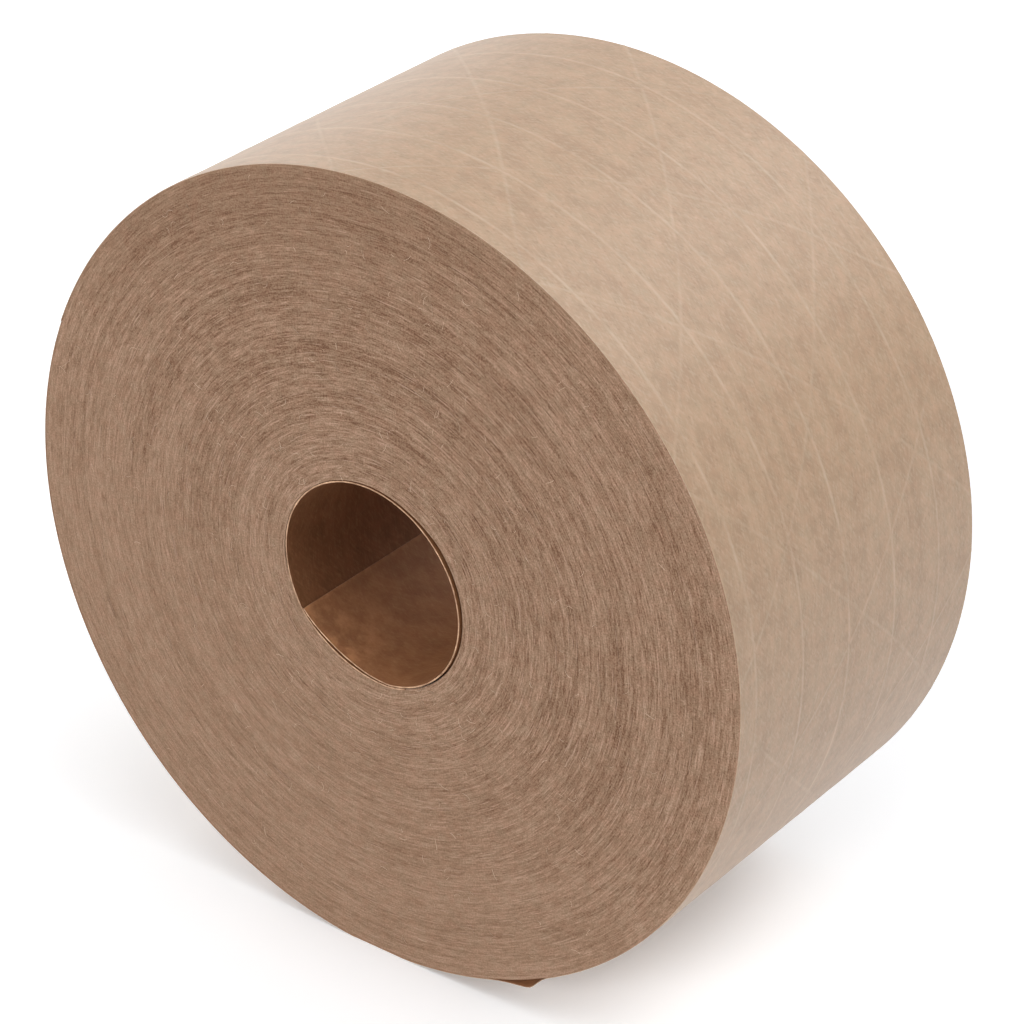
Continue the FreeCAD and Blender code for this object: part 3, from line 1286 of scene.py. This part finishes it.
@dataclass
class WoundTurns:
    """Every turn under the last one, as one closed mesh with uneven turn edges at its ends."""

    winding: Winding
    finishes: Finishes
    core: CoreShape
    bore_radius: float = 18.85
    bore_squash: float = 0.40       # how far the bore is out of round
    bore_flat: float = 0.50
    rings: int = 150
    segments: int = 300
    recess: float = 0.12            # how far the end faces lie inside the last turn's edges
    deepest: float = 0.06           # how far the most sunk turn edges lie in from there
    calm_edge: float = 1.2          # width at the rim and the bore where edges lie level
    core_inset: float = 0.32        # how far the innermost turns have slipped in
    inset_width: float = 0.8
    inset_angles: tuple[float, ...] = (0.0, 40.0, 65.0, 180.0, 205.0, FULL_TURN)
    inset_shares: tuple[float, ...] = (1.0, 1.0, 0.0, 0.0, 1.0, 1.0)
    wave_count: int = 45            # waves round the roll in the edge of each ring
    wave_fall: float = 0.35         # how fast the shorter ones get smaller
    kept_depth: float = 0.55        # how much of one ring's depth the next one keeps
    ring_jump: float = 2.0          # how much whole rings differ
    contrast: float = 0.24
    seed: int = 11

    def bore(self, angle: np.ndarray) -> np.ndarray:
        """Radius of the bore at each angle."""
        return self.bore_radius + self.core.stray(angle, self.bore_squash, self.bore_flat)

    def inset(self, angle: np.ndarray, from_bore: np.ndarray) -> np.ndarray:
        """How far the turns next to the core lie in, right of it and under its lap.

        Args:
            angle: Places round the bore, in degrees.
            from_bore: Distance out from the bore.

        Returns:
            The extra depth at each place, in millimetres.
        """
        slipped = np.interp(angle % FULL_TURN, self.inset_angles, self.inset_shares)
        return self.core_inset * slipped * np.clip(1.0 - from_bore / self.inset_width, 0, 1)

    def relief(self, rng: np.random.Generator) -> np.ndarray:
        """How far each point of an end face is sunk, as a share of the deepest.

        Args:
            rng: The source of random numbers.

        Returns:
            One row for each ring and one column for each segment, from 0 to 1.
        """
        turn = np.linspace(0.0, 2.0 * math.pi, self.segments, endpoint=False)
        waves = np.arange(1, self.wave_count + 1)
        sunk = np.zeros((self.rings + 1, self.segments))
        slow = np.zeros(self.segments)
        for ring in range(self.rings + 1):
            phases = rng.uniform(0.0, 2.0 * math.pi, len(waves))
            sizes = rng.normal(0.0, 1.0, len(waves)) / waves ** self.wave_fall
            wave = (sizes[:, None] * np.cos(waves[:, None] * turn + phases[:, None])).sum(0)
            slow = self.kept_depth * slow + wave + self.ring_jump * rng.normal()
            sunk[ring] = slow
        sunk = (sunk - sunk.mean()) / sunk.std()
        return np.clip(0.5 + self.contrast * sunk, 0.0, 1.0)

    def build(self) -> None:
        """Make the closed body and let it ride on the roll."""
        rng = np.random.default_rng(self.seed)
        start = self.winding.free_end
        angle = start + np.linspace(0.0, FULL_TURN, self.segments, endpoint=False)
        level = np.zeros(self.segments)
        rim = self.winding.place(angle, level, level - self.winding.web_thickness)
        rim_radius = np.hypot(rim[:, 0], rim[:, 2])
        direction = np.degrees(np.arctan2(rim[:, 2], rim[:, 0]))
        inner = self.bore(direction)
        share = np.linspace(0.0, 1.0, self.rings + 1)[:, None]
        radius = inner + share * (rim_radius - inner)
        slipped = self.inset(direction, radius - inner)
        calm = np.clip(np.minimum(radius - inner, rim_radius - radius) / self.calm_edge, 0, 1)
        grids, reliefs = [], []
        for side in (-1.0, 1.0):
            sunk = self.relief(rng) * calm
            depth = side * (self.winding.web_width / 2.0 - self.recess - self.deepest * sunk
                            - slipped)
            turn = np.radians(direction)
            grids.append(np.stack([radius * np.cos(turn), depth, radius * np.sin(turn)],
                                  axis=2).reshape(-1, 3))
            # The relief attribute, which the end-face finish turns into painted shade in sunk
            # edges and painted highlight on proud ones.
            reliefs.append(1.0 - sunk.ravel())
        points = np.vstack(grids)
        faces, slots = self.faces()
        chart = self.chart(points)
        piece = make_piece("wound_turns_body", points, faces,
                           [self.finishes.edges, self.finishes.face, self.finishes.base],
                           chart, slots, relief=np.concatenate(reliefs))
        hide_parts("wound_turns")
        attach(piece, "roll")
        LOG.info("%s: %d faces", piece.name, len(faces))

    def faces(self) -> tuple[list[tuple[int, ...]], np.ndarray]:
        """Faces of both ends, the outer wall and the bore wall.

        Returns:
            The faces, and the material slot of each.
        """
        count, shift = self.segments, (self.rings + 1) * self.segments
        faces, slots = [], []
        for ring in range(self.rings):
            for at in range(count):
                after = (at + 1) % count
                quad = (ring * count + at, (ring + 1) * count + at,
                        (ring + 1) * count + after, ring * count + after)
                faces.append(quad)
                faces.append(tuple(corner + shift for corner in reversed(quad)))
                slots += [0, 0]
        last = self.rings * count
        for at in range(count):
            after = (at + 1) % count
            faces.append((last + after, last + at, last + at + shift, last + after + shift))
            faces.append((at, after, after + shift, at + shift))
            slots += [1, 2]
        return faces, np.array(slots)

    def chart(self, points: np.ndarray) -> np.ndarray:
        """Map the outer wall like the web that lies on it.

        Args:
            points: The corners, in millimetres.

        Returns:
            Place along the web and across it for each corner.
        """
        turn = np.degrees(np.arctan2(points[:, 2], points[:, 0]))
        ahead = (self.winding.free_end - turn) % FULL_TURN
        return np.stack([np.radians(ahead) * self.winding.outer_radius, points[:, 1]], axis=1)


# ---------------------------------------------------------------------------------------
# What the slitting knife left on the end faces
# ---------------------------------------------------------------------------------------

@dataclass
class KnifeMarks:
    """Turn edges that stand proud of the end faces, and loose fibres torn from the paper."""

    winding: Winding
    finishes: Finishes
    face_recess: float
    inner_radius: float = 19.4
    outer_radius: float = 72.0
    arc_count: int = 1400
    arc_seed: int = 3
    arc_corners: int = 20           # of the strip that each proud turn edge is made from
    arc_lengths: tuple[float, float] = (0.8, 5.5)
    arc_width: float = 0.14
    arc_height: float = 0.035
    arc_taper: float = 3.8          # how fast an arc narrows from its middle
    least_proud: float = 0.35       # height of the lowest arcs, as a share of the highest
    arc_highlight: float = 2.2         # how much paler their finish is drawn, as a painted highlight on edges that stand proud
    hair_count: int = 380
    hair_seed: int = 17
    hair_corners: int = 18
    hair_lengths: tuple[float, float] = (0.5, 2.0)
    hair_thickness: float = 0.06
    hair_bend: float = 1.3
    hair_lift: float = 0.05
    hair_clearance: float = 0.02

    @staticmethod
    def build_tree(name: str, own_inputs: tuple[str, ...], kind: str, sizes: dict[str, Any],
                   corners: int, ranges: dict[str, tuple[Any, Any]],
                   steps: tuple[tuple[Any, ...], ...], mirrored_side: float,
                   **settings: Any) -> bpy.types.NodeTree:
        """Make a tree that scatters copies of a shape over one end face.

        Args:
            name: The tree's name.
            own_inputs: The names of the numbers that only this tree takes.
            kind: The node that makes the shape.
            sizes: That node's inputs.
            corners: How many corners the shape has.
            ranges: The lowest and highest value of each random number, which differs by copy.
            steps: Sums that end in across, outwards and up, for each corner.
            mirrored_side: The side on which the placing turns the faces inside out.
            **settings: The properties of the node that makes the shape.

        Returns:
            The geometry tree.
        """
        tree, wires, out = new_geometry_tree(
            name, Int=("Count", "Seed"), Material=("Material",),
            Float=("Inner Radius", "Outer Radius", "Shortest", "Longest", "Level", "Side",
                   *own_inputs))
        shape = add_node(tree, kind, sizes, **settings)
        line = add_node(tree, "GeometryNodeMeshLine", {
            "Count": wires["Count"], "Offset": (0.0, 0.0, 0.0)}, mode="OFFSET")
        copies = add_node(tree, "GeometryNodeInstanceOnPoints", {
            "Points": line, "Instance": shape})
        real = add_node(tree, "GeometryNodeRealizeInstances", (copies,))
        wires["index"] = add_node(tree, "GeometryNodeInputIndex")
        add_steps(tree, "ShaderNodeMath", wires, (
            ("share", "DIVIDE", "index", float(corners)), ("copy", "FLOOR", "share")))
        for place, (label, ends) in enumerate(ranges.items()):
            seed = add_node(tree, "ShaderNodeMath", (wires["Seed"], float(place)),
                            operation="ADD")
            wires[label] = add_node(tree, "FunctionNodeRandomValue", (
                *(wires.get(end, end) for end in ends), wires["copy"], seed),
                data_type="FLOAT")
        add_steps(tree, "ShaderNodeMath", wires, (
            *steps, ("depth", "MULTIPLY", "outwards", "Side")))
        position = add_node(tree, "ShaderNodeCombineXYZ", (
            wires["across"], wires["depth"], wires["up"]))
        placed = add_node(tree, "GeometryNodeSetPosition", {
            "Geometry": real, "Position": position})
        inside_out = add_node(tree, "FunctionNodeCompare", {
            "A": wires["Side"], "B": mirrored_side, "Epsilon": 0.5},
            data_type="FLOAT", operation="EQUAL")
        turned = add_node(tree, "GeometryNodeFlipFaces", (placed, inside_out))
        dressed = add_node(tree, "GeometryNodeSetMaterial", {
            "Geometry": turned, "Material": wires["Material"]})
        tree.links.new(dressed.outputs[0], out.inputs[0])
        return tree

    def build_arcs(self) -> bpy.types.NodeTree:
        """Make the tree of proud turn edges: tapered strips bent round the roll's axis.

        Returns:
            The geometry tree.
        """
        sizes = {"Size": (1.0, 1.0, 1.0), "Vertices X": self.arc_corners // 4,
                 "Vertices Y": 2, "Vertices Z": 2}
        ranges = {"radius": ("Inner Radius", "Outer Radius"), "start": (0.0, 2.0 * math.pi),
                  "length": ("Shortest", "Longest"), "proud": (self.least_proud, 1.0)}
        return self.build_tree(
            "proud_turn_edges", ("Width", "Height"), "GeometryNodeMeshCube", sizes,
            self.arc_corners, ranges, (
                ("square", "MULTIPLY", "x", "x"),
                ("loss", "MULTIPLY", "square", self.arc_taper),
                ("taper", "SUBTRACT", 1.0, "loss"),
                ("way", "MULTIPLY", "x", "length"),
                ("turn", "DIVIDE", "way", "radius"),
                ("angle", "ADD", "start", "turn"),
                ("wide", "MULTIPLY", "y", "Width"),
                ("tapered", "MULTIPLY", "wide", "taper"),
                ("from_axis", "ADD", "radius", "tapered"),
                ("cosine", "COSINE", "angle"), ("sine", "SINE", "angle"),
                ("across", "MULTIPLY", "from_axis", "cosine"),
                ("up", "MULTIPLY", "from_axis", "sine"),
                ("is_top", "GREATER_THAN", "z", 0.0),
                ("high", "MULTIPLY", "Height", "proud"),
                ("crown", "MULTIPLY", "high", "taper"),
                ("step", "ADD", "crown", "Height"),
                ("rise", "MULTIPLY", "is_top", "step"),
                ("floor", "SUBTRACT", "Level", "Height"),
                ("outwards", "ADD", "floor", "rise")), -1.0)

    def build_hairs(self) -> bpy.types.NodeTree:
        """Make the tree of loose fibres: bent three-sided hairs that lie on an end face.

        Returns:
            The geometry tree.
        """
        sizes = {"Vertices": 3, "Side Segments": self.hair_corners // 3 - 1, "Radius": 0.5,
                 "Depth": 1.0}
        ranges = {"radius": ("Inner Radius", "Outer Radius"), "around": (0.0, 2.0 * math.pi),
                  "heading": (0.0, 2.0 * math.pi), "length": ("Shortest", "Longest"),
                  "bend": (-self.hair_bend, self.hair_bend), "loose": (0.0, 1.0)}
        return self.build_tree(
            "torn_fibres", ("Thickness", "Lift"), "GeometryNodeMeshCylinder", sizes,
            self.hair_corners, ranges, (
                ("along", "MULTIPLY", "z", "length"),
                ("square", "MULTIPLY", "z", "z"),
                ("curve", "MULTIPLY", "square", "bend"),
                ("bow", "MULTIPLY", "curve", "length"),
                ("thick", "MULTIPLY", "x", "Thickness"),
                ("aside", "ADD", "bow", "thick"),
                ("head_x", "COSINE", "heading"), ("head_z", "SINE", "heading"),
                ("mid_x", "COSINE", "around"), ("mid_z", "SINE", "around"),
                ("far_x", "MULTIPLY", "radius", "mid_x"),
                ("far_z", "MULTIPLY", "radius", "mid_z"),
                ("along_x", "MULTIPLY", "along", "head_x"),
                ("along_z", "MULTIPLY", "along", "head_z"),
                ("aside_x", "MULTIPLY", "aside", "head_z"),
                ("aside_z", "MULTIPLY", "aside", "head_x"),
                ("way_x", "SUBTRACT", "along_x", "aside_x"),
                ("way_z", "ADD", "along_z", "aside_z"),
                ("across", "ADD", "far_x", "way_x"), ("up", "ADD", "far_z", "way_z"),
                ("height", "MULTIPLY", "y", "Thickness"),
                ("end", "ADD", "z", 0.5),
                ("curl", "MULTIPLY", "end", "loose"),
                ("lifted", "MULTIPLY", "curl", "Lift"),
                ("body", "ADD", "height", "lifted"),
                ("outwards", "ADD", "body", "Level")), 1.0, fill_type="NGON")

    def build(self) -> None:
        """Make the marks on both end faces and let them ride on the roll."""
        level = self.winding.web_width / 2.0 - self.face_recess
        both = {"Inner Radius": self.inner_radius, "Outer Radius": self.outer_radius}
        arcs = {**both, "Count": self.arc_count, "Seed": self.arc_seed, "Level": level,
                "Shortest": self.arc_lengths[0], "Longest": self.arc_lengths[1],
                "Width": self.arc_width, "Height": self.arc_height,
                "Material": self.finishes.edges}
        hairs = {**both, "Count": self.hair_count, "Seed": self.hair_seed,
                 "Level": level + self.hair_clearance, "Shortest": self.hair_lengths[0],
                 "Longest": self.hair_lengths[1], "Thickness": self.hair_thickness,
                 "Lift": self.hair_lift, "Material": self.finishes.fibre}
        marks = (("proud_turn_edges", self.build_arcs(), arcs, self.arc_highlight),
                 ("torn_fibres", self.build_hairs(), hairs, 1.0))
        for side, label in ((-1.0, "front"), (1.0, "back")):
            for name, tree, inputs, relief in marks:
                sheet = as_sheet(from_nodes(tree, {**inputs, "Side": side}))
                piece = make_piece(f"{name}_{label}", sheet.points, sheet.faces,
                                   [inputs["Material"]],
                                   relief=np.full(len(sheet.points), relief))
                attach(piece, "roll")
                LOG.info("%s: %d faces", piece.name, len(sheet.faces))


# ---------------------------------------------------------------------------------------
# The core liner
# ---------------------------------------------------------------------------------------

@dataclass
class CoreLiner:
    """A curled sheet whose free edge laps over its own start, a little out of round."""

    winding: Winding
    finishes: Finishes
    core: CoreShape
    radius: float = 18.25
    squash: float = 0.55
    thickness: float = 0.25
    overlap: float = 78.0
    ramp: float = 30.0              # degrees over which the sheet dives under its free edge
    lap_gap: float = 0.13
    ramp_bend: float = 1.5          # how late the ramp steepens; 1 is a straight one
    lean: float = 0.12              # how far it is pressed towards lean_angle
    lean_angle: float = 130.0
    flat: float = 0.50              # how far the stretch under the lap is flattened
    lap_flat: float = 0.85          # how far the lapping stretch is flattened
    step: float = 1.0               # degrees for each face round the sheet
    rows: int = 22
    lit_stretch: float = 0.32             # painted light: how much paler the lit stretch after the lapping edge is drawn
    lit_stretch_end: float = 240.0        # degrees past that edge where it ends
    lit_stretch_fade: float = 60.0
    lit_mouth_depth: float = 7.0         # how deep the painted light at the mouth reaches
    mouth_strength: float = 0.75
    lit_mouth_angles: tuple[float, ...] = (205.0, 222.0, 245.0, 275.0)
    pale_lap_band: float = 2.5           # degrees of the lapping edge that are drawn paler
    pale_lap_ends: tuple[float, float] = (-35.0, 10.0)  # where that shows most and least
    pale_lap_shares: tuple[float, float] = (0.60, 0.15)
    ragged: float = 0.10            # how far the cut edges wander in from the end faces
    ragged_waves: int = 9
    ragged_pace: float = 1.7
    nibbled: float = 0.04           # how far single corners of the cut edges lie in
    seed: int = 5

    def inner_radius(self, angle: np.ndarray) -> np.ndarray:
        """Radius of the sheet's inner side, from the lapping edge to the end beneath it.

        Args:
            angle: Degrees from +X towards +Z, from the lapping edge on.

        Returns:
            The radius at each angle.
        """
        past = angle - self.core.lap_angle
        closing = np.clip((past - FULL_TURN + self.ramp) / self.ramp, 0.0, 1.0)
        under = (self.thickness + self.lap_gap) * closing ** self.ramp_bend
        flat = np.where(past < FULL_TURN, self.lap_flat, self.flat)
        lean = self.lean * np.cos(np.radians(angle - self.lean_angle))
        return self.radius + self.core.stray(angle, self.squash, flat) + lean + under

    def bore_paleness(self, angle: np.ndarray, across: np.ndarray) -> np.ndarray:
        """How far the sheet is drawn pale: painted light past its lapping edge and at its
        mouth, and a pale band along that edge.

        Args:
            angle: Degrees from +X towards +Z, from the lapping edge on.
            across: Places along the roll's axis.

        Returns:
            A share from 0 to 1 for each place.
        """
        past = angle - self.core.lap_angle
        lit_stretch = self.lit_stretch * np.clip((self.lit_stretch_end - past) / self.lit_stretch_fade, 0.0, 1.0)
        from_end = self.winding.web_width / 2.0 - np.abs(across)
        mouth = np.exp(-from_end / self.lit_mouth_depth) * np.interp(
            angle, self.lit_mouth_angles, (0.0, 1.0, 1.0, 0.0))
        lap = np.clip(1.0 - past / self.pale_lap_band, 0.0, 1.0) * np.interp(
            across, self.pale_lap_ends, self.pale_lap_shares)
        return np.clip(lit_stretch + self.mouth_strength * mouth + lap, 0.0, 1.0)

    def build(self) -> None:
        """Make the sheet and let it ride on the roll."""
        rng = np.random.default_rng(self.seed)
        span = FULL_TURN + self.overlap
        angle = self.core.lap_angle + np.linspace(0.0, span, int(span / self.step))
        half = self.winding.web_width / 2.0
        across = np.linspace(-half, half, self.rows)
        flat = slab(np.radians(angle) * self.radius, across, 0.0, -self.thickness)
        turn = flat.points[:, 0] / self.radius
        radius = self.inner_radius(np.degrees(turn)) - flat.points[:, 2]
        waves = rng.uniform(0.0, 2.0 * math.pi, (2, self.ragged_waves))
        depth = flat.points[:, 1].copy()
        for side, phases in zip((-1.0, 1.0), waves):
            edge = np.abs(depth - side * half) < 1e-6
            wander = sum(np.cos(number * turn * self.ragged_pace + phase) / len(phases)
                         for number, phase in enumerate(phases, start=2))
            torn = self.ragged * (0.5 + 0.5 * wander[edge]) + self.nibbled * rng.random(
                edge.sum())
            depth[edge] = side * (half - torn)
        points = np.stack([radius * np.cos(turn), depth, radius * np.sin(turn)], axis=1)
        cut_from = 2 * (len(angle) - 1) * (self.rows - 1)
        is_cut = np.arange(len(flat.faces)) >= cut_from
        # Its crest attribute carries the painted light in the bore and the pale band at the
        # lapping edge.
        piece = make_piece("core_liner_sheet", points, flat.faces,
                           [self.finishes.liner, self.finishes.liner_cut],
                           flat.points[:, :2], is_cut,
                           crest=self.bore_paleness(np.degrees(turn), flat.points[:, 1]))
        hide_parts("core_liner")
        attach(piece, "roll")
        LOG.info("%s: %d faces", piece.name, len(flat.faces))


# ---------------------------------------------------------------------------------------
# Studio
# ---------------------------------------------------------------------------------------

@dataclass(frozen=True)
class Lamp:
    """A soft rectangular lamp that looks at the roll.

    Attributes:
        azimuth: Degrees from straight ahead of the front face towards +X.
        elevation: Degrees above the floor.
        distance: Metres from the roll's middle.
        size: Metres along each side.
        power: Watts.
        colour: Its light.
    """

    name: str
    azimuth: float
    elevation: float
    distance: float
    size: float
    power: float
    colour: str = "#FFFFFF"


@dataclass
class Studio:
    """The floor, the lamps, the world and the camera."""

    floor_height: float
    lamps: tuple[Lamp, ...] = (
        Lamp("front_softbox", -8.0, 20.0, 1.8, 0.6, 15.7),
        Lamp("front_low_softbox", 0.0, 8.0, 1.8, 0.6, 14.7),
        Lamp("front_overhead_softbox", 50.0, 65.0, 1.6, 1.0, 6.5),
        Lamp("right_softbox", 100.0, 45.0, 1.6, 1.0, 6.6),
        Lamp("back_high_softbox", 160.0, 42.0, 1.6, 1.2, 6.4),
        Lamp("back_right_softbox", 172.0, 22.0, 1.8, 1.1, 4.6),
        Lamp("back_left_softbox", 190.0, 18.0, 1.8, 1.2, 4.6),
        Lamp("left_low_softbox", 240.0, 15.0, 1.6, 1.0, 2.2),
        Lamp("left_softbox", 270.0, 20.0, 1.6, 1.0, 4.4))
    camera_azimuth: float = 37.107
    camera_elevation: float = 28.983
    camera_distance: float = 0.6408
    focal_mm: float = 130.06
    sensor_mm: float = 36.0
    clip: tuple[float, float] = (0.02, 30.0)
    shift: tuple[float, float] = (0.01374, -0.00685)
    floor_size: float = 12.0

    @staticmethod
    def direction(azimuth: float, elevation: float) -> Vector:
        """Unit direction from the roll.

        Args:
            azimuth: Degrees from straight ahead of the front face towards +X.
            elevation: Degrees above the floor.

        Returns:
            The direction.
        """
        turn, rise = math.radians(azimuth), math.radians(elevation)
        return Vector((math.sin(turn) * math.cos(rise), -math.cos(turn) * math.cos(rise),
                       math.sin(rise)))

    def aim(self, thing: bpy.types.Object, away: Vector) -> None:
        """Put a camera or a lamp away from the origin and turn it to look back.

        Args:
            thing: The camera or lamp.
            away: Its place.
        """
        thing.location = away
        thing.rotation_euler = (-away).to_track_quat("-Z", "Y").to_euler()
        bpy.context.scene.collection.objects.link(thing)

    def build(self) -> None:
        """Make everything that isn't part of the roll."""
        half = self.floor_size / 2.0
        mesh = bpy.data.meshes.new("floor")
        corners = [(-half, -half), (half, -half), (half, half), (-half, half)]
        mesh.from_pydata([(x, y, self.floor_height) for x, y in corners], [], [(0, 1, 2, 3)])
        mesh.materials.append(SeamlessPaper().build())
        floor = bpy.data.objects.new("floor", mesh)
        bpy.context.scene.collection.objects.link(floor)
        floor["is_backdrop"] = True
        for lamp in self.lamps:
            light = bpy.data.lights.new(lamp.name, "AREA")
            light.shape = "SQUARE"
            light.size = lamp.size
            light.energy = lamp.power
            light.color = linear(lamp.colour)[:3]
            holder = bpy.data.objects.new(lamp.name, light)
            self.aim(holder, self.direction(lamp.azimuth, lamp.elevation) * lamp.distance)
        self.light_world()
        lens = bpy.data.cameras.new("camera")
        lens.lens = self.focal_mm
        lens.sensor_width = self.sensor_mm
        lens.shift_x, lens.shift_y = self.shift
        lens.clip_start, lens.clip_end = self.clip
        camera = bpy.data.objects.new("camera", lens)
        self.aim(camera, self.direction(self.camera_azimuth, self.camera_elevation)
                 * self.camera_distance)
        bpy.context.scene.camera = camera
        bpy.context.scene.view_settings.view_transform = "Standard"

    def light_world(self) -> None:
        """Make a world that is white as seen, also in gloss and glass, and lights nothing."""
        world = bpy.data.worlds.new("white_cove")
        bpy.context.scene.world = world
        tree = empty_tree(world)
        rays = add_node(tree, "ShaderNodeLightPath").outputs
        seen = rays["Is Camera Ray"]
        for kind in ("Is Glossy Ray", "Is Transmission Ray"):
            seen = add_node(tree, "ShaderNodeMath", (seen, rays[kind]), operation="MAXIMUM")
        glow = add_node(tree, "ShaderNodeBackground", {"Color": WHITE, "Strength": seen})
        add_node(tree, "ShaderNodeOutputWorld", (glow,))


def main() -> None:
    """Dress the roll and set the studio up round it."""
    logging.basicConfig(level=logging.INFO, format="%(name)s: %(message)s")
    cad_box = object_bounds()
    mounts = {mount["name"]: mount for mount in frame["record"]["mounts"]}
    winding = Winding(web_width=mounts["core_bore"]["dims"]["length_mm"])
    finishes = Finishes()
    Web(winding, finishes).build()
    core = CoreShape()
    turns = WoundTurns(winding, finishes, core)
    turns.build()
    KnifeMarks(winding, finishes, turns.recess).build()
    CoreLiner(winding, finishes, core).build()
    Studio(floor_height=cad_box[0].z).build()


if __name__ == "__main__":
    main()
